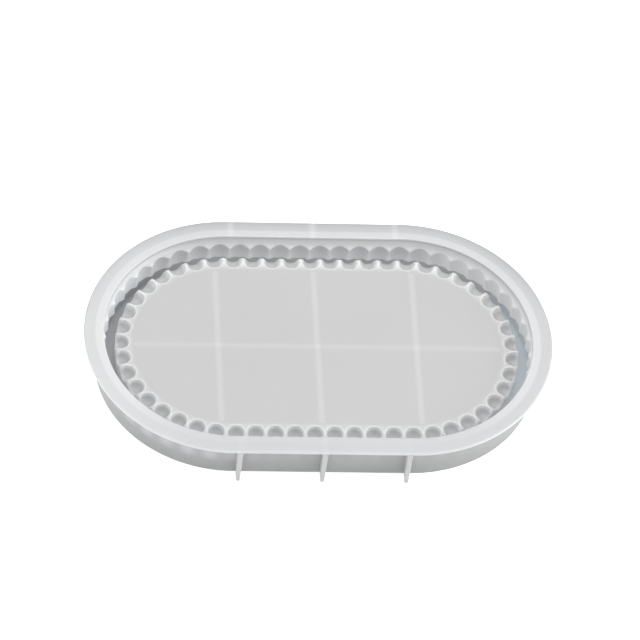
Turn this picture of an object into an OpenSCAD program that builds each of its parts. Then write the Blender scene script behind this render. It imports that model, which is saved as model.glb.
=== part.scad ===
// Resin casting mould: an oval tray mould in clear silicone, lying open side up.
// Frame: origin at the middle of the base plane, X along the length, +Z up, millimetres.
// Every ring is a profile of [inset, height] points, where inset is measured
// inwards from the outer edge of the rim, carried round the oval outline.

/* [Outline] */
// Overall length over the rim
mould_l = 264; // [240:1:300]
// Overall width over the rim
mould_w = 165.2; // [150:0.2:180]
// Height from the base plane to the top of the rim
mould_h = 27.2; // [26.4:0.2:30]

/* [Rim and outer wall] */
// Width of the rim, from its outer edge to the mouth of the mould
rim_w = 11.4; // [10.6:0.2:12]
// Thickness of the rim flange
rim_t = 1.8; // [1.4:0.1:2.4]
// How far the rim stands out past the wall
rim_overhang = 7.1; // [6:0.1:8]
// Depth of the plain collar under the mouth
collar_d = 6.2; // [5.6:0.1:6.8]
// Inset of the ridges that stand between the outer hollows
ridge_inset = 13.1; // [12.9:0.1:13.5]
// Depth below the top of the rim at which the ridges reach their full inset
ridge_top_d = 9.2; // [8.8:0.1:9.6]
// Depth of the lip under the hollows, below the top of the rim
lip_d = 18; // [17:0.1:19]
// Inset of the plain wall below the lip
low_wall_inset = 11.4; // [11:0.1:12]

/* [Bead hollows in the outer wall] */
// Number of hollows
outer_beads = 54; // [40:1:54]
// Radius of each barrel-shaped hollow at its middle
outer_bead_r = 7.5; // [7.2:0.1:7.5]
// Radius of the curve that the hollow's side follows from top to bottom
outer_bead_curve = 26.4; // [22:0.2:30]
// Inset of the hollows' upright axes
outer_bead_inset = 18.2; // [18:0.1:18.4]
// Inset of the line that the hollows are spaced along
outer_bead_path = 16; // [15:0.1:16.4]
// Depth of the hollows' widest level below the top of the rim
outer_bead_d = 12.7; // [12:0.1:13.2]
// Sideways shift of the row along the outline
outer_bead_shift = -1.3; // [-3:0.1:3]

/* [Island] */
// Depth of the casting face below the top of the rim
face_d = 9.6; // [9:0.1:10.4]
// Inset of the island's side
island_inset = 18; // [17.6:0.1:18.6]
// Number of scoops round the island's edge
inner_beads = 53; // [40:1:53]
// Radius of each scoop
inner_bead_r = 4.7; // [4.3:0.1:4.9]
// Inset of the scoops' centres
inner_bead_inset = 21.1; // [20.6:0.1:21.4]
// Height of the scoops' centres above the casting face
inner_bead_up = 0.3; // [0:0.1:1]
// Sideways shift of the row along the outline
inner_bead_shift = -1.2; // [-3:0.1:3]

/* [Floors, webs and ribs] */
// Thickness of the groove floor
floor_t = 2.7; // [2:0.1:3.2]
// Thickness of the casting face panel
face_t = 2.8; // [2.2:0.1:3.2]
// Thickness of the island's side wall
island_wall_t = 3; // [2.4:0.1:3.4]
// Distance between neighbouring cross ribs
rib_pitch = 56; // [50:0.5:60]
// Thickness of the ribs under the casting face
rib_t = 2.6; // [2:0.1:3.4]
// Distance between neighbouring fins
fin_pitch = 47; // [40:0.5:52]
// Thickness of a fin where it meets the rim
fin_top_t = 3.2; // [2.4:0.1:4]
// Thickness of a fin at its foot
fin_foot_t = 2.2; // [1.6:0.1:2.4]
// Inset of a fin's edge where it meets the rim
fin_top_inset = 0.3; // [0.1:0.1:1]
// Inset of a fin's edge at its foot
fin_foot_inset = 0.1; // [0:0.1:2]

/* [Hidden] */

$fn = 180;
bead_fn = 36;

// Outline: two half circles of radius end_r, joined by straight sides
end_r = mould_w / 2;
half_straight = mould_l / 2 - end_r;

// Heights
rim_under_z = mould_h - rim_t;
collar_z = mould_h - collar_d;
face_z = mould_h - face_d;
face_under_z = face_z - face_t;
ridge_top_z = mould_h - ridge_top_d;
lip_z = mould_h - lip_d;
outer_bead_z = mould_h - outer_bead_d;
inner_bead_z = face_z + inner_bead_up;

// Cove from the collar in to the ridges: an arc that leaves the collar upright
cove_in = ridge_inset - rim_w;
cove_drop = collar_z - ridge_top_z;
cove_r = (cove_in * cove_in + cove_drop * cove_drop) / (2 * cove_in);
cove_turn = asin(cove_drop / cove_r);
cove_steps = 6;

// The thick edge of the island reaches this much past and below the scoops
edge_cover = 2.6;
edge_inset = inner_bead_inset + inner_bead_r + edge_cover;
edge_under_z = inner_bead_z - inner_bead_r - edge_cover - 0.3;

silicone = [0.84, 0.85, 0.86];
silicone_shade = [0.72, 0.73, 0.75];

// Length of the outline at an inset
function row_len(inset) = 4 * half_straight + 2 * PI * (end_r - inset);

// Point at an inset, on the outline's normal at distance s clockwise from the middle of
// the back; s is measured along the line at the inset given as path
function row_point(s, path, inset) =
    let (r = end_r - path, reach = end_r - inset, a = half_straight, arc = PI * r)
    s < a ? [s, reach]
    : s < a + arc
        ? let (t = (s - a) / r * 180 / PI) [a + reach * sin(t), reach * cos(t)]
    : s < 3 * a + arc ? [2 * a + arc - s, -reach]
    : s < 3 * a + 2 * arc
        ? let (t = (s - 3 * a - arc) / r * 180 / PI) [-a - reach * sin(t), -reach * cos(t)]
    : [s - 4 * a - 2 * arc, reach];

// Profile of [inset, height] points, carried right round the outline
module ring(profile) {
    section = [for (p = profile) [end_r - p[0], p[1]]];
    for (side = [-1, 1]) {
        translate([side * half_straight, 0, 0])
            rotate([0, 0, -90 * side])
                rotate_extrude(angle = 180)
                    polygon(section);
        mirror([0, 1 - side, 0])
            translate([-half_straight, 0, 0])
                rotate([90, 0, 90])
                    linear_extrude(2 * half_straight)
                        polygon(section);
    }
}

// Plain ring of rectangular section
module square_ring(inset_out, inset_in, z_low, z_high) {
    ring([[inset_out, z_low], [inset_in, z_low], [inset_in, z_high], [inset_out, z_high]]);
}

// Solid slab with the outline at an inset
module slab(inset, z_low, z_high) {
    translate([0, 0, z_low])
        linear_extrude(z_high - z_low)
            union() {
                square([2 * half_straight, 2 * (end_r - inset)], center = true);
                for (side = [-1, 1])
                    translate([side * half_straight, 0])
                        circle(end_r - inset);
            }
}

// Copies of a shape at an inset, spaced evenly along the outline at the path inset
module bead_row(count, path, inset, z, start) {
    whole = row_len(path);
    for (i = [0 : count - 1]) {
        s = (i * whole / count + start + whole) % whole;
        translate(concat(row_point(s, path, inset), z))
            children();
    }
}

// Upright barrel with its widest level at height 0, reaching past both ends of the
// hollows' height; its side follows a shallow arc
module barrel() {
    low = lip_z - outer_bead_z;
    high = collar_z - outer_bead_z;
    levels = [low - 1, low / 2, 0, high / 2, high + 1];
    side = [for (z = levels) [outer_bead_r - z * z / (2 * outer_bead_curve), z]];
    rotate_extrude($fn = bead_fn)
        polygon(concat([[0, low - 1]], side, [[0, high + 1]]));
}

// The space under the island that the ribs stand in
module island_cavity() {
    slab(island_inset + island_wall_t, 0, edge_under_z);
    slab(edge_inset, edge_under_z, face_under_z);
}

// Flat flange that stiffens the mouth and stands out past the wall
module rim_flange() {
    color(silicone)
        square_ring(0, rim_w, rim_under_z, mould_h);
}

// Plain upright band just under the flange
module mouth_collar() {
    color(silicone)
        square_ring(rim_overhang, rim_w, collar_z, rim_under_z);
}

// Wall thickened by a cove under the collar, with the outer row of tall hollows that
// are open at the bottom
module outer_bead_wall() {
    cove = [
        for (i = [0 : cove_steps])
            let (t = cove_turn * (1 - i / cove_steps))
            [rim_w + cove_r * (1 - cos(t)), collar_z - cove_r * sin(t)]
    ];
    color(silicone_shade)
        difference() {
            ring(concat(
                [[rim_overhang, lip_z], [ridge_inset, lip_z]], cove,
                [[rim_overhang, collar_z]]
            ));
            bead_row(
                outer_beads, outer_bead_path, outer_bead_inset, outer_bead_z,
                row_len(outer_bead_path) / outer_beads / 2 + outer_bead_shift
            )
                barrel();
        }
}

// Plain wall from the hollows down to the groove floor
module lower_wall() {
    color(silicone)
        square_ring(rim_overhang, low_wall_inset, floor_t, lip_z);
}

// Bottom of the groove between the outer wall and the island
module groove_floor() {
    color(silicone_shade)
        square_ring(rim_overhang, island_inset + island_wall_t, 0, floor_t);
}

// Upright side of the island
module island_wall() {
    color(silicone)
        square_ring(island_inset, island_inset + island_wall_t, floor_t, edge_under_z);
}

// Thick edge of the island with the inner row of scoops
module island_bead_edge() {
    color(silicone_shade)
        difference() {
            square_ring(island_inset, edge_inset, edge_under_z, face_z);
            bead_row(
                inner_beads, inner_bead_inset, inner_bead_inset, inner_bead_z,
                inner_bead_shift
            )
                sphere(inner_bead_r, $fn = bead_fn);
        }
}

// Flat panel that the floor of the cast tray forms against
module casting_face() {
    color(silicone)
        slab(edge_inset, face_under_z, face_z);
}

// Rib across the width, under the casting face
module cross_rib(place) {
    color(silicone)
        intersection() {
            translate([place * rib_pitch - rib_t / 2, -end_r, 0])
                cube([rib_t, 2 * end_r, face_under_z]);
            island_cavity();
        }
}

// Stretch of the lengthwise rib between two neighbouring cross ribs, or out to the
// island's wall; from and to count cross ribs from the middle
module long_rib(from, to) {
    color(silicone)
        intersection() {
            translate([from * rib_pitch + rib_t / 2, -rib_t / 2, 0])
                cube([(to - from) * rib_pitch - rib_t, rib_t, face_under_z]);
            island_cavity();
        }
}

// Upright fin under the flange; side is -1 at the front and 1 at the back
module fin(place, side) {
    reach = end_r - fin_top_inset;
    foot_reach = end_r - fin_foot_inset;
    wall_y = end_r - rim_overhang;
    color(silicone)
        translate([place * fin_pitch, 0, 0])
            mirror([0, 1 - side, 0])
                intersection() {
                    rotate([90, 0, 90])
                        translate([0, 0, -fin_top_t])
                            linear_extrude(2 * fin_top_t)
                                polygon([
                                    [wall_y, 0], [foot_reach, 0],
                                    [reach, rim_under_z], [wall_y, rim_under_z]
                                ]);
                    translate([0, end_r, 0])
                        rotate([90, 0, 0])
                            linear_extrude(end_r)
                                polygon([
                                    [-fin_foot_t / 2, 0], [fin_foot_t / 2, 0],
                                    [fin_top_t / 2, rim_under_z], [-fin_top_t / 2, rim_under_z]
                                ]);
                }
}

module cross_rib_left() { cross_rib(-1); }
module cross_rib_middle() { cross_rib(0); }
module cross_rib_right() { cross_rib(1); }
module long_rib_far_left() { long_rib(-2, -1); }
module long_rib_left() { long_rib(-1, 0); }
module long_rib_right() { long_rib(0, 1); }
module long_rib_far_right() { long_rib(1, 2); }
module front_fin_left() { fin(-1, -1); }
module front_fin_middle() { fin(0, -1); }
module front_fin_right() { fin(1, -1); }
module back_fin_left() { fin(-1, 1); }
module back_fin_middle() { fin(0, 1); }
module back_fin_right() { fin(1, 1); }

rim_flange();
mouth_collar();
outer_bead_wall();
lower_wall();
groove_floor();
island_wall();
island_bead_edge();
casting_face();
cross_rib_left();
cross_rib_middle();
cross_rib_right();
long_rib_far_left();
long_rib_left();
long_rib_right();
long_rib_far_right();
front_fin_left();
front_fin_middle();
front_fin_right();
back_fin_left();
back_fin_middle();
back_fin_right();
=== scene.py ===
"""Looks of an oval silicone mould for casting a beaded tray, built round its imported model.

Shapes are worked out in millimetres as (station, inset, height): the station runs
clockwise along the oval outline from the middle of the back, the inset is measured
inwards from the outer edge of the rim, and the height is above the table.
"""

import math

import bmesh
import bpy
import numpy as np
from mathutils import Matrix, Vector

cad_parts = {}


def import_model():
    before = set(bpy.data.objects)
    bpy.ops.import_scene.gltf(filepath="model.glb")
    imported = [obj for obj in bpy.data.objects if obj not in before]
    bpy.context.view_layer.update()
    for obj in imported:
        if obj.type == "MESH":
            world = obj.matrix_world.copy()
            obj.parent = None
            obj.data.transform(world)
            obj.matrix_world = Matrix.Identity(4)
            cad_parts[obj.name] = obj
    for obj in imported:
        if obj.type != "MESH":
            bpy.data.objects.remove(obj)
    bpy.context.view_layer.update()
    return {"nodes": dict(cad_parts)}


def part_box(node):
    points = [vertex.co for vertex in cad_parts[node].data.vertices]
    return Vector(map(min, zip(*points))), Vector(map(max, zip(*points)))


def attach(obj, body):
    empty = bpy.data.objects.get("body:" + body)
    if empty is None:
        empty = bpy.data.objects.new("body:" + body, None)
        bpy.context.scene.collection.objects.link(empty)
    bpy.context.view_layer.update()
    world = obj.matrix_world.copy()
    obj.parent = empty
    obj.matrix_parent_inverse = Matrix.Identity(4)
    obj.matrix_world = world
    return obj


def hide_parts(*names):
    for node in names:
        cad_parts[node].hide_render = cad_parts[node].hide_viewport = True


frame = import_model()

MM = 0.001
FULL_TURN = 2 * math.pi


# ---------------------------------------------------------------- sizes, in millimetres

def node_box(node):
    """Lowest and highest corner of a node, in millimetres."""
    low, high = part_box(node)
    return np.array(low) / MM, np.array(high) / MM


def middle_x(node):
    """Middle of a node along the length, in millimetres."""
    low, high = node_box(node)
    return float(low[0] + high[0]) / 2


RIM_LOW, RIM_HIGH = node_box("rim_flange")
COLLAR_LOW, COLLAR_HIGH = node_box("mouth_collar")
FACE_LOW, FACE_HIGH = node_box("casting_face")
ISLAND_HIGH = node_box("island_wall")[1]

END_R = RIM_HIGH[1]                     # radius of the outline's half circles
STRAIGHT = RIM_HIGH[0] - END_R          # half length of the straight sides
RIM_TOP = RIM_HIGH[2]
RIM_UNDER = RIM_LOW[2]
COLLAR_Z = COLLAR_LOW[2]
LIP_Z = node_box("outer_bead_wall")[0][2]
FLOOR_TOP = node_box("groove_floor")[1][2]
EDGE_UNDER = ISLAND_HIGH[2]
FACE_TOP = FACE_HIGH[2]
FACE_UNDER = FACE_LOW[2]

WALL_OUT = END_R - COLLAR_HIGH[1]       # inset of the wall's outer face
ISLAND_OUT = END_R - ISLAND_HIGH[1]     # inset of the island's side
EDGE_IN = END_R - FACE_HIGH[1]          # inset where the casting face begins
RIM_IN = 11.4                           # inset of the mouth
RIDGE_IN = 13.1                         # inset of the ridges between the outer hollows
RIDGE_TOP = RIM_TOP - 9.2               # height where the ridges reach that inset
LOW_WALL_IN = 11.4                      # inset of the plain wall under the hollows
ISLAND_WALL_T = 3.0

OUTER_COUNT = 54
OUTER_PATH = 16.0                       # inset of the line the hollows are spaced along
OUTER_AXIS = 18.2                       # inset of the hollows' upright axes
OUTER_R = 7.5                           # radius of a hollow at its widest level
OUTER_CURVE = 26.4                      # radius of the hollow's side from top to bottom
OUTER_Z = RIM_TOP - 12.7
OUTER_SHIFT = -1.3
INNER_COUNT = 53
INNER_INSET = 21.1                      # inset of the scoops' centres
INNER_R = 4.7
INNER_Z = FACE_TOP + 0.3
INNER_SHIFT = -1.2

SIDES = ("left", "middle", "right")
FIN_X = [middle_x(f"back_fin_{side}") for side in SIDES]
RIB_X = [middle_x(f"cross_rib_{side}") for side in SIDES]


def row_length(inset):
    """Length of the outline at an inset: four half sides and a full circle."""
    return 4 * STRAIGHT + FULL_TURN * (END_R - inset)


def heading(station, path_inset):
    """Where the outline's normal starts on the middle line, and the normal's turn from
    the back, at a station given as an arc length along the outline at path_inset."""
    radius = END_R - path_inset
    arc = math.pi * radius
    s = np.mod(station, row_length(path_inset))
    right = np.clip(s - STRAIGHT, 0, arc) / radius
    left = np.clip(s - 3 * STRAIGHT - arc, 0, arc) / radius
    along = np.minimum(s, STRAIGHT)
    along = along - np.clip(s - STRAIGHT - arc, 0, 2 * STRAIGHT)
    along = along + np.clip(s - 3 * STRAIGHT - 2 * arc, 0, STRAIGHT)
    return along, right + left


def place(station, inset, height, path_inset):
    """Points in metres on the outline's normals, each at its own inset and height."""
    along, angle = heading(station, path_inset)
    reach = END_R - inset
    x = along + reach * np.sin(angle)
    y = reach * np.cos(angle)
    return np.stack([x, y, np.broadcast_to(height, x.shape)], -1) * MM


# ---------------------------------------------------------------- mesh helpers

def make_piece(name, points, faces, body, material, nodes, attributes=None):
    """A closed mesh from points and faces, merged, turned outwards and set on the frame."""
    mesh = bpy.data.meshes.new(name)
    mesh.from_pydata(points.reshape(-1, 3).tolist(), [], faces)
    for key, values in (attributes or {}).items():
        layer = mesh.attributes.new(key, "FLOAT", "POINT")
        layer.data.foreach_set("value", np.ascontiguousarray(values, np.float32).ravel())
    work = bmesh.new()
    work.from_mesh(mesh)
    bmesh.ops.remove_doubles(work, verts=work.verts, dist=1e-6)
    bmesh.ops.dissolve_degenerate(work, edges=work.edges, dist=1e-7)
    bmesh.ops.recalc_face_normals(work, faces=work.faces)
    work.to_mesh(mesh)
    work.free()
    mesh.polygons.foreach_set("use_smooth", np.ones(len(mesh.polygons), bool))
    mesh.set_sharp_from_angle(angle=math.radians(40))
    piece = bpy.data.objects.new(name, mesh)
    bpy.context.scene.collection.objects.link(piece)
    mesh.materials.append(material)
    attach(piece, body)
    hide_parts(*nodes)
    return piece


def grid_faces(rows, columns, wrap_rows=False, wrap_columns=False, start=0):
    """Quads of a grid whose points are numbered row by row from start."""
    r = np.arange(rows if wrap_rows else rows - 1)
    c = np.arange(columns if wrap_columns else columns - 1)
    r, c = np.meshgrid(r, c, indexing="ij")
    r2 = (r + 1) % rows
    c2 = (c + 1) % columns
    quads = np.stack([r * columns + c, r * columns + c2, r2 * columns + c2, r2 * columns + c], -1)
    return (quads.reshape(-1, 4) + start).tolist()


def rounded(corners, steps=6):
    """Closed profile with each [inset, height, radius] corner rounded by an arc that
    touches both of its sides, with a spare point on each side just past the arc."""
    corners = np.array(corners, float)
    out = []
    for i, (x, z, radius) in enumerate(corners):
        here = np.array([x, z])
        before = corners[i - 1, :2] - here
        after = corners[(i + 1) % len(corners), :2] - here
        before /= np.linalg.norm(before)
        after /= np.linalg.norm(after)
        if radius == 0:
            out.append(here[None])
            continue
        half = math.acos(np.clip(before @ after, -1, 1)) / 2
        cut = radius / math.tan(half)
        middle = here + (before + after) / np.linalg.norm(before + after) * radius / math.sin(half)
        first = here + before * cut - middle
        last = here + after * cut - middle
        swing = math.pi - 2 * half
        t = np.linspace(0, 1, steps + 1)[:, None]
        arc = (np.sin((1 - t) * swing) * first + np.sin(t * swing) * last) / math.sin(swing)
        spare = 0.3 * radius
        out.append((here + before * (cut + spare))[None])
        out.append(middle + arc)
        out.append((here + after * (cut + spare))[None])
    return np.concatenate(out)


def swept_ring(name, corners, material, node, stations=420, marks=None):
    """A closed profile carried right round the outline."""
    profile = rounded(corners)
    s = np.arange(stations) / stations * row_length(0)
    s, inset = np.meshgrid(s, profile[:, 0], indexing="ij")
    height = np.broadcast_to(profile[:, 1], s.shape)
    points = place(s, inset, height, 0)
    faces = grid_faces(*s.shape, wrap_rows=True, wrap_columns=True)
    attributes = {"edge": marks(inset, height)} if marks else None
    return make_piece(name, points, faces, "root", material, [node], attributes)


# ---------------------------------------------------------------- the two bead rows

def soft_min(values, softness):
    """Smooth minimum: minus softness times the log of the sum of exp(-value / softness)."""
    values = np.stack(values)
    lowest = values.min(0)
    total = np.exp(-(values - lowest) / softness).sum(0)
    return lowest - softness * np.log(total)


def ball_depth(distance, radius, centre):
    """Surface of a ball below its centre height, as centre - sqrt(radius^2 - distance^2),
    going on in a straight line where it would become too steep."""
    turn = 0.97 * radius
    low = np.minimum(distance, turn)
    drop = np.sqrt(radius ** 2 - low ** 2)
    slope = turn / np.sqrt(radius ** 2 - turn ** 2)
    return centre - drop + slope * np.maximum(distance - turn, 0)


def edge_distance(reach, radius, centre, plane):
    """Distance from a ball's middle at which its surface comes up to a flat plane, never
    more than reach, found by halving the interval."""
    low = np.zeros_like(reach)
    high = np.minimum(reach, radius)
    for _ in range(30):
        mid = (low + high) / 2
        inside = ball_depth(mid, radius, centre) < plane
        low = np.where(inside, mid, low)
        high = np.where(inside, high, mid)
    return low


def cell_grid(half, low, high, middle, across, along, find_edge):
    """Rings of points over one cell of a bead row. The last ring lies on the cell's
    border; the others close in on the ball's middle, crowded near the hollow's edge."""
    a_run = np.linspace(-half, half, across + 1)
    b_run = np.linspace(low, high, along + 1)
    border_a = np.concatenate([a_run[:-1], np.full(along, half), a_run[:0:-1], np.full(along, -half)])
    border_b = np.concatenate([np.full(across, low), b_run[:-1], np.full(across, high), b_run[:0:-1]])
    reach = np.hypot(border_a, border_b - middle)
    edge = find_edge(reach)
    share = np.minimum(edge, 0.94 * reach) / reach
    rings_in = 10
    rings_out = 5
    inner = np.sin(np.linspace(0, math.pi / 2, rings_in + 1))[1:, None]
    outer = (np.linspace(0, 1, rings_out + 1)[1:, None]) ** 1.4
    t = np.concatenate([inner * share, share + (1 - share) * outer])
    a = t * border_a
    b = middle + t * (border_b - middle)
    return a_run, a, b


def strip_rows(across, *stretches):
    """Rows of (inset, height) that follow the stretches one after another. Each stretch
    is a start, an end and a number of steps; a start or end may vary across the row."""
    rows = []
    for (inset_1, z_1), (inset_2, z_2), steps in stretches:
        for t in np.arange(steps) / steps:
            inset = (1 - t) * inset_1 + t * inset_2
            height = (1 - t) * z_1 + t * z_2
            rows.append(np.stack([np.broadcast_to(v, (across + 1,)) for v in (inset, height)]))
    inset_2, z_2 = stretches[-1][1]
    rows.append(np.stack([np.broadcast_to(v, (across + 1,)) for v in (inset_2, z_2)]))
    rows = np.stack(rows)
    return rows[:, 0], rows[:, 1]


def repeat_cell(name, node, material, count, shift, path_inset, patch, strip):
    """One cell of a bead row, repeated along the outline and merged into a closed ring.
    patch is (a, inset, height, edge, deep, cusp) for the middle point and its rings,
    and strip is the same for the rows that close the cell underneath or behind."""
    pitch = row_length(path_inset) / count
    centre, rings = patch
    ring_rows, ring_count = rings[0].shape
    local = [np.concatenate([[c], r.ravel(), t.ravel()]) for c, r, t in zip(centre, rings, strip)]
    ring = np.arange(ring_count)
    fan = np.stack([0 * ring, 1 + ring, 1 + (ring + 1) % ring_count], -1)
    faces = fan.tolist() + grid_faces(ring_rows, ring_count, wrap_columns=True, start=1)
    faces += grid_faces(*strip[0].shape, start=1 + ring_rows * ring_count)
    size = local[0].size
    i = np.arange(count)[:, None]
    a, inset, height, edge, deep, cusp = local
    points = place(i * pitch + shift + a, inset + 0 * i, height + 0 * i, path_inset)
    all_faces = [[v + k * size for v in face] for k in range(count) for face in faces]
    attributes = {"edge": edge + 0 * i, "deep": deep + 0 * i, "cusp": cusp + 0 * i}
    return make_piece(
        name, points, all_faces, "root", material, [node], attributes
    )


CELL_STEPS = 12                         # points along each side of one scoop's cell
EDGE_ROUND = 2.3                        # radius that turns the island's top down to its side
SOFTNESS = 0.5                          # how softly two surfaces blend where they meet


def island_bead_edge(material):
    """Thick edge of the island: its top is the smooth minimum of the flat casting plane
    and a row of balls, and it turns down to the island's side over a quarter round."""
    pitch = row_length(INNER_INSET) / INNER_COUNT

    def top(a, inset):
        """Smooth minimum of the casting plane, the ball here and its two neighbours."""
        distances = [np.hypot(a - k * pitch, inset - INNER_INSET) for k in (-1, 0, 1)]
        balls = [ball_depth(distance, INNER_R, INNER_Z) for distance in distances]
        return soft_min([np.full(np.shape(inset), FACE_TOP), *balls], SOFTNESS)

    def sunk(height):
        """0 at the casting plane and 1 well down in a scoop."""
        depth = np.clip((FACE_TOP - 0.3 - height) / 1.4, 0, 1)
        return depth * depth * (3 - 2 * depth)

    def outline(a, inset):
        """1 on the rim of the nearest scoop, falling off as a bell curve to each side."""
        half_width = 0.65
        near = np.minimum(
            np.hypot(a, inset - INNER_INSET), np.hypot(pitch - np.abs(a), inset - INNER_INSET)
        )
        return np.exp(-((near - INNER_R - 0.3) / half_width) ** 2)

    def cusp(a, inset):
        """1 halfway between two scoops, falling off to each side and at the face."""
        half_width = 1.7
        fade = np.clip((26.5 - inset) / 3, 0, 1)
        return np.exp(-((pitch / 2 - np.abs(a)) / half_width) ** 2) * fade

    def find_edge(reach):
        """Distance from the scoop's middle to its rim."""
        return edge_distance(reach, INNER_R, INNER_Z, FACE_TOP)

    a_run, a, inset = cell_grid(
        pitch / 2, ISLAND_OUT + EDGE_ROUND, EDGE_IN, INNER_INSET, CELL_STEPS, CELL_STEPS, find_edge
    )
    height = top(a, inset)
    # the outline, sunk and cusp masks place the painted rim highlight, the painted shade in the
    # scoops and the painted cusp highlights
    rings = (a, inset, height, outline(a, inset), sunk(height), cusp(a, inset))
    lowest = float(top(np.zeros(1), np.array([INNER_INSET]))[0])
    centre = (0.0, INNER_INSET, lowest, 0.0, 1.0, 0.0)
    turn = np.linspace(0, math.pi / 2, 7)[:, None]
    turn_inset = ISLAND_OUT + EDGE_ROUND * (1 - np.sin(turn)) + 0 * a_run
    turn_z = top(a_run + 0 * turn, turn_inset) - EDGE_ROUND * (1 - np.cos(turn))
    rest_inset, rest_z = strip_rows(
        CELL_STEPS,
        ((ISLAND_OUT, turn_z[-1]), (ISLAND_OUT, EDGE_UNDER), 5),
        ((ISLAND_OUT, EDGE_UNDER), (EDGE_IN, EDGE_UNDER), 3),
        ((EDGE_IN, EDGE_UNDER), (EDGE_IN, FACE_TOP), 4),
    )
    strip_inset = np.concatenate([turn_inset, rest_inset[1:]])
    strip_z = np.concatenate([turn_z, rest_z[1:]])
    strip_a = a_run + 0 * strip_inset
    fade = np.zeros_like(strip_a)
    fade[: len(turn)] = 1 - 0.7 * np.sin(turn)
    lip = outline(strip_a, strip_inset) * fade
    sink = sunk(strip_z) * fade
    strip = (strip_a, strip_inset, strip_z, lip, sink, cusp(strip_a, strip_inset) * fade)
    return repeat_cell(
        "island_bead_edge_moulded", "island_bead_edge", material,
        INNER_COUNT, INNER_SHIFT, INNER_INSET, (centre, rings), strip,
    )


def wall_profile(z):
    """Inset of the plain inner wall at a height: an arc that leaves the collar upright
    and runs in to the ridges, then straight down."""
    width = RIDGE_IN - RIM_IN
    drop = COLLAR_Z - RIDGE_TOP
    radius = (width ** 2 + drop ** 2) / (2 * width)
    down = np.clip(COLLAR_Z - z, 0, drop)
    return RIM_IN + radius - np.sqrt(radius ** 2 - down ** 2)


def barrel_surfaces(station, z):
    """Insets at which the outline's normal at a station meets the nearest barrel and its
    two neighbours: the middle of the chord less half its length, where half the chord is
    sqrt(radius^2 - distance^2) and the radius falls off as height^2 / (2 * curve)."""
    pitch = row_length(OUTER_PATH) / OUTER_COUNT
    start = pitch / 2 + OUTER_SHIFT
    along, angle = heading(station, OUTER_PATH)
    nearest = np.round((station - start) / pitch)
    radius = OUTER_R - (z - OUTER_Z) ** 2 / (2 * OUTER_CURVE)
    found = []
    for k in (-1, 0, 1):
        axis = place((nearest + k) * pitch + start, OUTER_AXIS, 0, OUTER_PATH) / MM
        to_x = axis[..., 0] - along
        to_y = axis[..., 1]
        forward = to_x * np.sin(angle) + to_y * np.cos(angle)
        aside = np.abs(to_x * np.cos(angle) - to_y * np.sin(angle))
        found.append(ball_depth(aside, radius, END_R - forward))
    return found


def outer_bead_wall(material):
    """Wall with the tall outer hollows: its inset is the smooth minimum of the plain
    profile and a row of upright barrels, with the lip under the ridges rounded off."""
    columns = 22
    pitch = row_length(OUTER_PATH) / OUTER_COUNT
    lip_round = 0.7
    spot_size = 3.0
    lip = LIP_Z + lip_round * (1 - np.sin(np.linspace(0, math.pi / 2, 5)))[::-1]
    z = np.concatenate([lip, np.linspace(LIP_Z + lip_round, COLLAR_Z, 27)[1:]])
    s = np.arange(columns * OUTER_COUNT) / columns * pitch
    s, z = np.meshgrid(s, z, indexing="ij")
    surfaces = [wall_profile(z), *barrel_surfaces(s, z)]
    fade = np.clip((COLLAR_Z - z) / 3, 0.04, 1)
    inset = soft_min(surfaces, SOFTNESS * fade)
    under = np.clip(1 - (z - LIP_Z) / lip_round, 0, 1)
    inset = inset - lip_round * (1 - np.sqrt(1 - under ** 2)) * (inset > LOW_WALL_IN)
    inset = np.minimum(inset, RIDGE_IN)
    away = (s - pitch / 2 - OUTER_SHIFT + pitch / 2) % pitch - pitch / 2
    back_z = np.linspace(COLLAR_Z, LIP_Z, 13)
    back_z = np.broadcast_to(back_z, (s.shape[0], back_z.size))
    back_away = np.broadcast_to(away[:, :1], back_z.shape)
    thin = np.exp(-(back_away ** 2 + (back_z - OUTER_Z) ** 2 / 1.6) / (2 * spot_size ** 2))
    back_s = np.broadcast_to(s[:, :1], back_z.shape)
    points = place(
        np.concatenate([s, back_s], 1),
        np.concatenate([inset, np.full(back_z.shape, WALL_OUT)], 1),
        np.concatenate([z, back_z], 1),
        OUTER_PATH,
    )
    faces = grid_faces(*points.shape[:2], wrap_rows=True, wrap_columns=True)
    rise = (z - LIP_Z) / (COLLAR_Z - LIP_Z)
    deep = np.clip((wall_profile(z) - inset) / (0.3 + 1.5 * (1 - rise)), 0, 1)
    deep = deep * deep * (3 - 2 * deep)
    # deep marks the hollows for their painted shade, and thin marks the thin wall for the painted
    # light spots
    attributes = {
        "deep": np.concatenate([deep, 0 * back_z], 1),
        "thin": np.concatenate([0 * z, thin], 1),
    }
    return make_piece(
        "outer_bead_wall_moulded", points, faces, "root", material,
        ["outer_bead_wall"], attributes,
    )


# ---------------------------------------------------------------- the plain rings

def rim_flange(material):
    """Flat flange with its outer edge rounded above and below, and a softened mouth."""
    corners = [
        (0, RIM_UNDER, 0.6), (0, RIM_TOP, 0.9), (RIM_IN, RIM_TOP, 0.8),
        (RIM_IN, RIM_UNDER, 0), (WALL_OUT, RIM_UNDER, 0),
    ]

    def marks(inset, height):
        """1 at the outer edge, falling off as a bell curve inwards."""
        # this edge mask places the painted highlight and glow on the rim's front edge
        return np.exp(-(inset / 0.8) ** 2) + 0 * height

    return swept_ring(
        "rim_flange_moulded", corners, material, "rim_flange", marks=marks
    )


def plain_ring(node, inset_out, inset_in, z_low, z_high, material, radii=(0, 0, 0, 0)):
    """Ring of rectangular section; radii round its outer low, outer high, inner high and
    inner low edges."""
    corners = [
        (inset_out, z_low, radii[0]), (inset_out, z_high, radii[1]),
        (inset_in, z_high, radii[2]), (inset_in, z_low, radii[3]),
    ]
    return swept_ring(node + "_moulded", corners, material, node)


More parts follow.
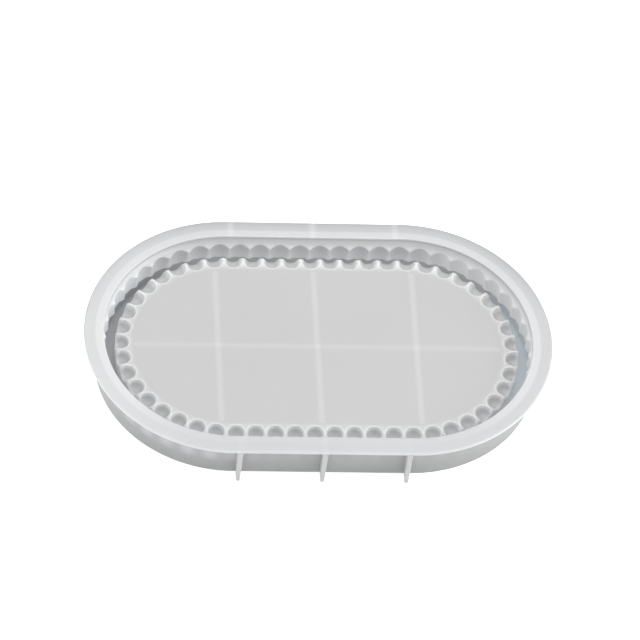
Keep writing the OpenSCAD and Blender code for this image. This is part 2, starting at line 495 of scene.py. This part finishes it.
def casting_face(material):
    """Oval panel in rings of shrinking inset, closed along the middle line."""
    stations = 420
    run = np.linspace(EDGE_IN, END_R, 26)
    inset = np.concatenate([run[::-1], run])
    height = np.concatenate([np.full(run.size, FACE_UNDER), np.full(run.size, FACE_TOP)])
    s = np.arange(stations) / stations * row_length(0)
    s, inset = np.meshgrid(s, inset, indexing="ij")
    points = place(s, inset, np.broadcast_to(height, s.shape), 0)
    faces = grid_faces(*s.shape, wrap_rows=True)
    return make_piece(
        "casting_face_moulded", points, faces, "root", material,
        ["casting_face"],
    )


# ---------------------------------------------------------------- ribs and fins

def close_rows(rows, columns):
    """Quads between rows of a tube, with a flat cap at each end."""
    faces = grid_faces(rows, columns, wrap_columns=True)
    faces.append(list(range(columns)))
    faces.append(list(range((rows - 1) * columns, rows * columns)))
    return faces


def rib(node, material):
    """Upright plate with a half-round foot, carried along its length. Its top is under
    the casting face in the middle and lower at its ends, under the bead edge."""
    low, high = node_box(node)
    size = high - low
    run = int(size[1] > size[0])
    across = 1 - run
    half = size[across] / 2
    middle = (high + low)[across] / 2
    t = np.linspace(0, math.pi, 13)
    foot_x = half * np.cos(t)
    foot_z = half - half * np.sin(t)
    reach = END_R - EDGE_IN
    limit = reach + STRAIGHT if run == 0 else math.sqrt(
        reach ** 2 - max(abs(middle) - STRAIGHT, 0) ** 2
    )
    stops = np.clip([low[run], -limit, -limit, limit, limit, high[run]], low[run], high[run])
    tops = np.array([EDGE_UNDER, EDGE_UNDER, FACE_UNDER, FACE_UNDER, EDGE_UNDER, EDGE_UNDER])
    columns = t.size + 2
    points = np.zeros((stops.size, columns, 3))
    points[..., run] = stops[:, None]
    points[..., across] = middle + np.concatenate([[half], foot_x, [-half]])
    points[:, 1:-1, 2] = foot_z
    points[:, 0, 2] = tops
    points[:, -1, 2] = tops
    faces = close_rows(stops.size, columns)
    return make_piece(
        node + "_moulded", points * MM, faces, "root", material, [node]
    )


def fin(node, material):
    """Upright fin on the wall. Each level is a U with rounded corners; its thickness and
    reach grow evenly from the foot to the flange, and the foot is rounded under."""
    low, high = node_box(node)
    middle = (low + high)[0] / 2
    back = (low + high)[1] > 0
    top_half = (high - low)[0] / 2
    top_reach = max(abs(low[1]), abs(high[1]))
    foot_half = 1.1
    foot_reach = END_R - 0.1
    wall = END_R - WALL_OUT
    nose = 0.55
    foot_round = 0.8
    turn = np.linspace(math.pi / 2, 0, 7)
    level_z = np.concatenate([foot_round * (1 - np.sin(turn)), np.linspace(2.5, RIM_UNDER, 8)])
    shrink = np.concatenate([foot_round * (1 - np.cos(turn)), np.zeros(8)])
    share = level_z / RIM_UNDER
    half = (foot_half + (top_half - foot_half) * share - shrink)[:, None]
    reach = (foot_reach + (top_reach - foot_reach) * share - shrink)[:, None]
    arc = np.linspace(0, math.pi / 2, 6)
    side_x = half - nose * (1 - np.cos(arc))
    side_y = reach - nose * (1 - np.sin(arc))
    root = np.full_like(half, wall)
    x = np.concatenate([half, side_x, -side_x[:, ::-1], -half], 1)
    y = np.concatenate([root, side_y, side_y[:, ::-1], root], 1)
    z = level_z[:, None] + 0 * x
    points = np.stack([middle + x, y if back else -y, z], -1)
    faces = close_rows(*x.shape)
    return make_piece(
        node + "_moulded", points * MM, faces, "root", material, [node]
    )


# ---------------------------------------------------------------- materials

def new_group(name, inputs, outputs):
    """Empty node group with float, colour or vector sockets given as (name, kind, value)."""
    group = bpy.data.node_groups.new(name, "ShaderNodeTree")
    for label, kind, value in inputs:
        socket = group.interface.new_socket(label, in_out="INPUT", socket_type=kind)
        if value is not None:
            socket.default_value = value
    for label, kind in outputs:
        group.interface.new_socket(label, in_out="OUTPUT", socket_type=kind)
    return group, group.nodes.new("NodeGroupInput"), group.nodes.new("NodeGroupOutput")


def math_node(tree, operation, *values):
    """Math node whose inputs are numbers or other sockets; returns its output."""
    node = tree.nodes.new("ShaderNodeMath")
    node.operation = operation
    for socket, value in zip(node.inputs, values):
        if isinstance(value, (int, float)):
            socket.default_value = value
        else:
            tree.links.new(value, socket)
    return node.outputs[0]


def smooth_step(tree, value, low, high):
    """0 below low, 1 above high, and a smooth rise between."""
    node = tree.nodes.new("ShaderNodeMapRange")
    node.interpolation_type = "SMOOTHSTEP"
    for socket, source in zip(node.inputs[:3], (value, low, high)):
        if isinstance(source, (int, float)):
            socket.default_value = source
        else:
            tree.links.new(source, socket)
    return node.outputs[0]


def mix_colour(tree, factor, first, second):
    """Mix of two colours by a factor socket or number."""
    node = tree.nodes.new("ShaderNodeMix")
    node.data_type = "RGBA"
    colour_inputs = [s for s in node.inputs if s.type == "RGBA"]
    for socket, value in ((node.inputs[0], factor), *zip(colour_inputs, (first, second))):
        if isinstance(value, (int, float, tuple)):
            socket.default_value = value
        else:
            tree.links.new(value, socket)
    return [s for s in node.outputs if s.type == "RGBA"][0]


def inset_group():
    """Distance inwards from the rim's outer edge, in millimetres, at any point: the end
    radius less the distance to the line between the two end centres."""
    group, _, out = new_group("inset_from_rim", [], [("Inset", "NodeSocketFloat")])
    place_node = group.nodes.new("ShaderNodeTexCoord")
    split = group.nodes.new("ShaderNodeSeparateXYZ")
    group.links.new(place_node.outputs["Object"], split.inputs[0])
    past = math_node(group, "SUBTRACT", math_node(group, "ABSOLUTE", split.outputs[0]), STRAIGHT * MM)
    past = math_node(group, "MAXIMUM", past, 0.0)
    square = math_node(group, "ADD", math_node(group, "POWER", past, 2.0),
                       math_node(group, "POWER", math_node(group, "ABSOLUTE", split.outputs[1]), 2.0))
    reach = math_node(group, "SQRT", square)
    inset = math_node(group, "MULTIPLY", math_node(group, "SUBTRACT", END_R * MM, reach), 1000.0)
    group.links.new(inset, out.inputs["Inset"])
    return group


def stripe_group():
    """1 on a soft-edged stripe of a value round a centre, 0 elsewhere."""
    group, given, out = new_group(
        "soft_stripe",
        [("Value", "NodeSocketFloat", 0.0), ("Centre", "NodeSocketFloat", 0.0),
         ("Half Width", "NodeSocketFloat", 0.001), ("Softness", "NodeSocketFloat", 0.001)],
        [("Mask", "NodeSocketFloat")],
    )
    away = math_node(group, "ABSOLUTE", math_node(
        group, "SUBTRACT", given.outputs["Value"], given.outputs["Centre"]))
    low = math_node(group, "SUBTRACT", given.outputs["Half Width"], given.outputs["Softness"])
    high = math_node(group, "ADD", given.outputs["Half Width"], given.outputs["Softness"])
    mask = math_node(group, "SUBTRACT", 1.0, smooth_step(group, away, low, high))
    group.links.new(mask, out.inputs["Mask"])
    return group


def skin_group():
    """Milky silicone: slow clouds in the tone, a fine satin grain in roughness and height."""
    group, given, out = new_group(
        "silicone_skin",
        [("Colour", "NodeSocketColor", (0.7, 0.7, 0.7, 1)),
         ("Cloud", "NodeSocketFloat", 0.05), ("Roughness", "NodeSocketFloat", 0.4)],
        [("Colour", "NodeSocketColor"), ("Roughness", "NodeSocketFloat"),
         ("Height", "NodeSocketFloat")],
    )
    where = group.nodes.new("ShaderNodeTexCoord")

    def noise(scale, detail):
        """Noise over the piece, in a range round 0.5."""
        node = group.nodes.new("ShaderNodeTexNoise")
        node.inputs["Scale"].default_value = scale
        node.inputs["Detail"].default_value = detail
        group.links.new(where.outputs["Object"], node.inputs["Vector"])
        return node.outputs[0]

    cloud = math_node(group, "SUBTRACT", noise(26.0, 3.0), 0.5)
    fleck = math_node(group, "SUBTRACT", noise(190.0, 2.0), 0.5)
    drift = math_node(group, "ADD", cloud, math_node(group, "MULTIPLY", fleck, 0.35))
    gain = math_node(group, "ADD", 1.0, math_node(group, "MULTIPLY", drift, given.outputs["Cloud"]))
    scale = group.nodes.new("ShaderNodeVectorMath")
    scale.operation = "SCALE"
    group.links.new(given.outputs["Colour"], scale.inputs[0])
    group.links.new(gain, scale.inputs["Scale"])
    group.links.new(scale.outputs[0], out.inputs["Colour"])
    grain = noise(1500.0, 2.0)
    rough = math_node(group, "ADD", given.outputs["Roughness"], math_node(
        group, "MULTIPLY", math_node(group, "SUBTRACT", grain, 0.5), 0.12))
    group.links.new(rough, out.inputs["Roughness"])
    group.links.new(grain, out.inputs["Height"])
    return group


INSET = inset_group()
STRIPE = stripe_group()
SKIN = skin_group()


class Finish:
    """A material being made: its tree, the tone so far, and the steps that change it."""

    def __init__(self, name, tone):
        """Start a material of one tone."""
        self.material = bpy.data.materials.new(name)
        self.material.use_nodes = True
        self.tree = self.material.node_tree
        self.shader = self.tree.nodes["Principled BSDF"]
        self.tone = (*tone, 1.0)
        where = self.tree.nodes.new("ShaderNodeTexCoord")
        self.split = self.tree.nodes.new("ShaderNodeSeparateXYZ")
        self.tree.links.new(where.outputs["Object"], self.split.inputs[0])

    def group(self, tree, **values):
        """Place a node group, with its inputs given by name as numbers or sockets."""
        node = self.tree.nodes.new("ShaderNodeGroup")
        node.node_tree = tree
        for key, value in values.items():
            socket = node.inputs[key.replace("_", " ")]
            if isinstance(value, (int, float, tuple)):
                socket.default_value = value
            else:
                self.tree.links.new(value, socket)
        return node

    def stripe(self, value, centre, half_width, softness):
        """1 where a value is within half_width of centre, with soft edges."""
        return self.group(STRIPE, Value=value, Centre=centre, Half_Width=half_width,
                          Softness=softness).outputs["Mask"]

    def attribute(self, name):
        """A mask that the piece's own mesh carries."""
        node = self.tree.nodes.new("ShaderNodeAttribute")
        node.attribute_name = name
        return node.outputs["Fac"]

    def both(self, first, second):
        """Product of two masks: where both of them hold."""
        return math_node(self.tree, "MULTIPLY", first, second)

    def opposite(self, mask):
        """1 where a mask is 0, and 0 where it is 1."""
        return math_node(self.tree, "SUBTRACT", 1.0, mask)

    def tint(self, mask, colour, strength):
        """Move the tone towards a colour, by a mask times a strength."""
        factor = math_node(self.tree, "MULTIPLY", mask, strength)
        self.tone = mix_colour(self.tree, factor, self.tone, (*colour, 1.0))

    def shade(self, factor, colour):
        """Replace the tone by a colour where a mask is 1."""
        self.tone = mix_colour(self.tree, factor, self.tone, (*colour, 1.0))

    def height_ramp(self, low, high):
        """0 below the height low, in millimetres, rising smoothly to 1 at high."""
        return smooth_step(self.tree, self.split.outputs[2], low * MM, high * MM)

    def depth_ramp(self, near, far):
        """0 in front of near, in millimetres across the width, rising to 1 at far."""
        return smooth_step(self.tree, self.split.outputs[1], near * MM, far * MM)

    def left_end(self, near, far):
        """0 up to near millimetres left of the middle, rising smoothly to 1 at far."""
        return smooth_step(self.tree, self.split.outputs[0], -near * MM, -far * MM)

    def right_end(self, near, far):
        """0 up to near millimetres right of the middle, rising smoothly to 1 at far."""
        return smooth_step(self.tree, self.split.outputs[0], near * MM, far * MM)

    def inside(self):
        """1 on the side of the wall that faces the island, 0 on its outer side."""
        inset = self.group(INSET).outputs["Inset"]
        return smooth_step(self.tree, inset, WALL_OUT + 0.5, WALL_OUT + 2.0)

    def done(self, cloud, roughness, bump, glow=0.0, where=1.0):
        """Link the tone and the satin grain up. Glow is the share of the tone that the
        silicone gives off as light that has passed through it, and where is its mask."""
        skin = self.group(SKIN, Colour=self.tone, Cloud=cloud, Roughness=roughness)
        links = self.tree.links
        links.new(skin.outputs["Colour"], self.shader.inputs["Base Color"])
        links.new(skin.outputs["Roughness"], self.shader.inputs["Roughness"])
        raised = self.tree.nodes.new("ShaderNodeBump")
        raised.inputs["Strength"].default_value = bump
        raised.inputs["Distance"].default_value = 0.0002
        links.new(skin.outputs["Height"], raised.inputs["Height"])
        links.new(raised.outputs["Normal"], self.shader.inputs["Normal"])
        self.shader.inputs["IOR"].default_value = 1.41
        if glow:
            dark = (0.0, 0.0, 0.0, 1.0)
            lit = mix_colour(self.tree, where, dark, skin.outputs["Colour"])
            links.new(lit, self.shader.inputs["Emission Color"])
            self.shader.inputs["Emission Strength"].default_value = glow
        return self.material


def grey(value, warmth=0.0):
    """Near-neutral tone; warmth above 0 turns it warmer and below 0 cooler."""
    return (value * (1 + warmth), value, value * (1 - warmth))


WHITE = grey(0.97, -0.005)
GLOW = 0.45                             # light that comes through the walls
SCOOP_GLOW = 0.44
EDGE_GLOW = 0.10
LINE_SOFTNESS = 1.3 * MM


def rim_finish():
    """Thin grey overhang with painted shade, darker at the back and darkest along the back
    edge; a whiter band where the wall stands under it, faint all round from the thicker
    silicone and stronger away from the front as painted light coming through; a paler
    mouth away from the front as painted light; a painted highlight and glow on the front
    edge; painted light at the left end; and a faint bar over each fin, faint all round
    from the thicker silicone and stronger at the back as painted light."""
    finish = Finish("rim_silicone", grey(0.585, -0.010))
    tree = finish.tree
    inset = finish.group(INSET).outputs["Inset"]
    behind = finish.depth_ramp(5, 60)
    # painted shade: the overhang is darker towards the back
    finish.shade(behind, grey(0.545, -0.016))
    rim_side = finish.opposite(smooth_step(tree, inset, -1.0, 5.5))
    # painted shade: darkest along the back edge
    finish.shade(finish.both(behind, rim_side), grey(0.44, -0.018))
    # whiter band over the wall: the faint tint all round is the thicker silicone's own tone; the
    # stronger tint away from the front, and the paler mouth, are painted light coming through
    off_front = finish.depth_ramp(-78, -40)
    band = smooth_step(tree, inset, WALL_OUT - 1.4, WALL_OUT + 0.4)
    finish.tint(finish.both(band, off_front), WHITE, 0.19)
    finish.tint(band, WHITE, 0.06)
    mouth = smooth_step(tree, inset, RIM_IN - 1.6, RIM_IN - 0.4)
    finish.tint(finish.both(mouth, off_front), WHITE, 0.15)
    # painted light: the left end of the rim is paler
    finish.tint(finish.left_end(60, 120), WHITE, 0.16)
    # painted highlight on the front edge, with a painted glow from EDGE_GLOW
    front = finish.opposite(finish.depth_ramp(-40, 10))
    lit_edge = finish.both(finish.attribute("edge"), front)
    finish.tint(lit_edge, WHITE, 0.32)
    # pale bar over each fin: the faint tint all round is the thicker silicone; the stronger tint at
    # the back is painted light coming through
    for x in FIN_X:
        bar = finish.stripe(finish.split.outputs[0], x * MM, 1.6 * MM, 1.4 * MM)
        finish.tint(finish.both(bar, behind), WHITE, 0.13)
        finish.tint(bar, WHITE, 0.04)
    return finish.done(cloud=0.05, roughness=0.36, bump=0.05, glow=EDGE_GLOW, where=lit_edge)


def wall_finish():
    """Painted shade outside and painted light on the side facing the island, paler down the
    collar and at its ends as painted light coming through; painted shadow under the rim;
    painted shade in the groove, darkest at its left end and lighter and cooler at its
    right; and a painted glow on the inner side."""
    # painted shade: the outer side's tone is darker than the inner side's
    finish = Finish("wall_silicone", grey(0.385, -0.012))
    tree = finish.tree
    inside = finish.inside()
    # painted light coming through: the side facing the island is lighter
    finish.shade(inside, grey(0.60, -0.008))
    # painted light at the left and right ends
    finish.tint(finish.both(inside, finish.left_end(50, 100)), WHITE, 0.32)
    finish.tint(finish.both(inside, finish.right_end(70, 115)), WHITE, 0.16)
    # painted shadow under the rim, weaker at the left end
    top = finish.both(inside, finish.height_ramp(18.5, 27.5))
    fade = math_node(tree, "MULTIPLY_ADD", finish.left_end(65, 105), -0.8, 0.95)
    finish.shade(finish.both(top, fade), grey(0.45, -0.006))
    # painted shade in the groove, darkest at the left end and lighter and cooler at the right
    raised = finish.height_ramp(8, 12)
    low = math_node(tree, "SUBTRACT", inside, finish.both(inside, raised))
    finish.shade(low, grey(0.475, -0.006))
    finish.shade(finish.both(low, finish.left_end(55, 105)), grey(0.355, -0.03))
    finish.shade(finish.both(low, finish.right_end(88, 114)), (0.485, 0.52, 0.545))
    glowing = finish.both(inside, math_node(tree, "MULTIPLY_ADD", raised, 0.55, 0.45))
    return finish.done(cloud=0.08, roughness=0.34, bump=0.04, glow=GLOW, where=glowing)


def bead_finish():
    """Painted shade outside and painted light on the side facing the island; paler ridges
    between hollows with painted shade that lightens towards the bottom and at the ends of
    the mould; painted light at the ends; soft painted light spots outside where the wall
    is thin, strongest at the left; and a painted glow on the inner side."""
    # painted shade: the outer side's tone is darker than the inner side's
    finish = Finish("bead_silicone", grey(0.385, -0.012))
    inside = finish.inside()
    # painted light spots where light comes through the thin wall, strongest at the left
    thin = finish.attribute("thin")
    finish.tint(thin, WHITE, 0.05)
    lilac = (0.70, 0.69, 0.76)
    finish.tint(finish.both(thin, finish.left_end(20, 70)), lilac, 0.42)
    left = finish.both(inside, finish.left_end(84, 108))
    right = finish.both(inside, finish.right_end(52, 82))
    # painted light coming through: the side facing the island is lighter, a little more near the top
    finish.shade(inside, grey(0.57, -0.006))
    finish.shade(finish.both(inside, finish.height_ramp(14.5, 18.5)), grey(0.585, -0.006))
    # painted light at the left and right ends
    finish.tint(left, WHITE, 0.24)
    finish.tint(right, WHITE, 0.07)
    # painted shade in the hollows, darkest under their tops and lighter at the ends
    deep = finish.both(finish.attribute("deep"), inside)
    finish.shade(deep, grey(0.50, -0.008))
    finish.shade(finish.both(deep, finish.height_ramp(8.0, 19.5)), grey(0.395, -0.010))
    finish.shade(finish.both(finish.both(deep, right), 0.85), grey(0.56, -0.008))
    finish.shade(finish.both(finish.both(deep, left), 0.8), (0.62, 0.655, 0.67))
    return finish.done(cloud=0.06, roughness=0.36, bump=0.04, glow=GLOW, where=inside)


def island_finish():
    """Scoops with painted shade, greyer than the casting face and lighter at the back,
    outlined in a painted white highlight, with painted highlights on the cusps at the back,
    a paler band beside the casting face, and a painted glow in the scoops.
    """
    finish = Finish("island_silicone", grey(0.54))
    inset = finish.group(INSET).outputs["Inset"]
    beside = finish.opposite(smooth_step(finish.tree, inset, 25.9, EDGE_IN))
    finish.tint(beside, WHITE, 0.10)
    behind = finish.depth_ramp(0.0, 50)
    # painted shade in the scoops, lighter at the back
    deep = finish.attribute("deep")
    finish.shade(deep, grey(0.305, -0.010))
    finish.shade(finish.both(deep, behind), grey(0.365, -0.008))
    # painted highlight on the cusps between scoops at the back
    finish.tint(finish.both(finish.attribute("cusp"), behind), WHITE, 0.38)
    # painted highlight round each scoop's rim
    finish.tint(finish.attribute("edge"), WHITE, 0.44)
    return finish.done(cloud=0.06, roughness=0.36, bump=0.04, glow=SCOOP_GLOW, where=deep)


def face_finish():
    """Casting face with the ribs underneath showing as soft pale lines."""
    finish = Finish("face_silicone", grey(0.54, 0.001))
    for x in RIB_X:
        line = finish.stripe(finish.split.outputs[0], x * MM, 1.5 * MM, LINE_SOFTNESS)
        finish.tint(line, WHITE, 0.13)
    line = finish.stripe(finish.split.outputs[1], 0.0, 1.5 * MM, LINE_SOFTNESS)
    finish.tint(line, WHITE, 0.10)
    return finish.done(cloud=0.05, roughness=0.38, bump=0.05)


def rib_finish():
    """Plain silicone for the fins outside and the ribs underneath."""
    finish = Finish("rib_silicone", grey(0.54, -0.006))
    return finish.done(cloud=0.06, roughness=0.36, bump=0.04)


# ---------------------------------------------------------------- the object

RIM_FINISH = rim_finish()
WALL_FINISH = wall_finish()
BEAD_FINISH = bead_finish()
ISLAND_FINISH = island_finish()
FACE_FINISH = face_finish()
RIB_FINISH = rib_finish()

rim_flange(RIM_FINISH)
plain_ring("mouth_collar", WALL_OUT, RIM_IN, COLLAR_Z, RIM_UNDER, WALL_FINISH)
outer_bead_wall(BEAD_FINISH)
plain_ring("lower_wall", WALL_OUT, LOW_WALL_IN, FLOOR_TOP, LIP_Z, WALL_FINISH)
plain_ring("groove_floor", WALL_OUT, ISLAND_OUT + ISLAND_WALL_T, 0, FLOOR_TOP,
           WALL_FINISH, radii=(0.5, 0, 0, 0.5))
plain_ring("island_wall", ISLAND_OUT, ISLAND_OUT + ISLAND_WALL_T, FLOOR_TOP, EDGE_UNDER,
           WALL_FINISH)
island_bead_edge(ISLAND_FINISH)
casting_face(FACE_FINISH)
for node in sorted(frame["nodes"]):
    if "_rib_" in node:
        rib(node, RIB_FINISH)
    elif "_fin_" in node:
        fin(node, RIB_FINISH)


# ---------------------------------------------------------------- floor, light, camera

def floor():
    """Wide pale table, a little bright of itself so that it reads as a white sweep."""
    bpy.ops.mesh.primitive_plane_add(size=12, location=(0, 0, -0.0002))
    table = bpy.context.object
    table.name = "table"
    material = bpy.data.materials.new("table_white")
    material.use_nodes = True
    shader = material.node_tree.nodes["Principled BSDF"]
    shader.inputs["Base Color"].default_value = (0.9, 0.9, 0.9, 1)
    shader.inputs["Roughness"].default_value = 0.9
    shader.inputs["Emission Color"].default_value = (1.0, 1.0, 0.99, 1)
    shader.inputs["Emission Strength"].default_value = 0.7
    table.data.materials.append(material)


def panel(name, place_m, aim_m, size, watts, colour=(1, 1, 1)):
    """Square soft light facing a point."""
    light = bpy.data.lights.new(name, "AREA")
    light.shape = "SQUARE"
    light.size = size
    light.energy = watts
    light.color = colour
    lamp = bpy.data.objects.new(name, light)
    bpy.context.scene.collection.objects.link(lamp)
    lamp.location = place_m
    aim = Vector(aim_m) - Vector(place_m)
    lamp.rotation_euler = aim.to_track_quat("-Z", "Y").to_euler()


def world(strength):
    """Even pale surroundings."""
    surroundings = bpy.data.worlds.new("surroundings")
    surroundings.use_nodes = True
    back = surroundings.node_tree.nodes["Background"]
    back.inputs["Color"].default_value = (0.995, 0.998, 1.0, 1)
    back.inputs["Strength"].default_value = strength
    bpy.context.scene.world = surroundings


def camera(azimuth, elevation, roll, distance, target, focal):
    """Long-lens camera turned round the target: azimuth from -Y, elevation from level,
    and roll about its own axis, in degrees; focal length in millimetres."""
    az, el, ro = (math.radians(v) for v in (azimuth, elevation, roll))
    back = Vector((math.sin(az) * math.cos(el), -math.cos(az) * math.cos(el), math.sin(el)))
    right = (-back).cross(Vector((0, 0, 1))).normalized()
    up = right.cross(-back)
    level_right = right * math.cos(ro) + up * math.sin(ro)
    level_up = up * math.cos(ro) - right * math.sin(ro)
    lens = bpy.data.cameras.new("view")
    lens.lens = focal
    lens.sensor_width = 36
    lens.clip_end = 20
    eye = bpy.data.objects.new("view", lens)
    bpy.context.scene.collection.objects.link(eye)
    turn = Matrix((level_right, level_up, back)).transposed().to_4x4()
    eye.matrix_world = Matrix.Translation(Vector(target) + back * distance) @ turn
    bpy.context.scene.camera = eye


floor()
world(0.35)
panel("overhead", (0.0, 0.3, 1.5), (0, 0, 0), 1.6, 18.5)
panel("right_side", (1.6, -0.25, 0.7), (0, 0, 0), 1.0, 12)
panel("left_side", (-1.6, -0.15, 0.7), (0, 0, 0), 1.0, 5)
camera(
    azimuth=-8.558, elevation=50.882, roll=7.513, distance=3.018,
    target=(0.001065, 0.01138, RIM_TOP * MM), focal=302.0,
)
bpy.context.scene.view_settings.view_transform = "Standard"
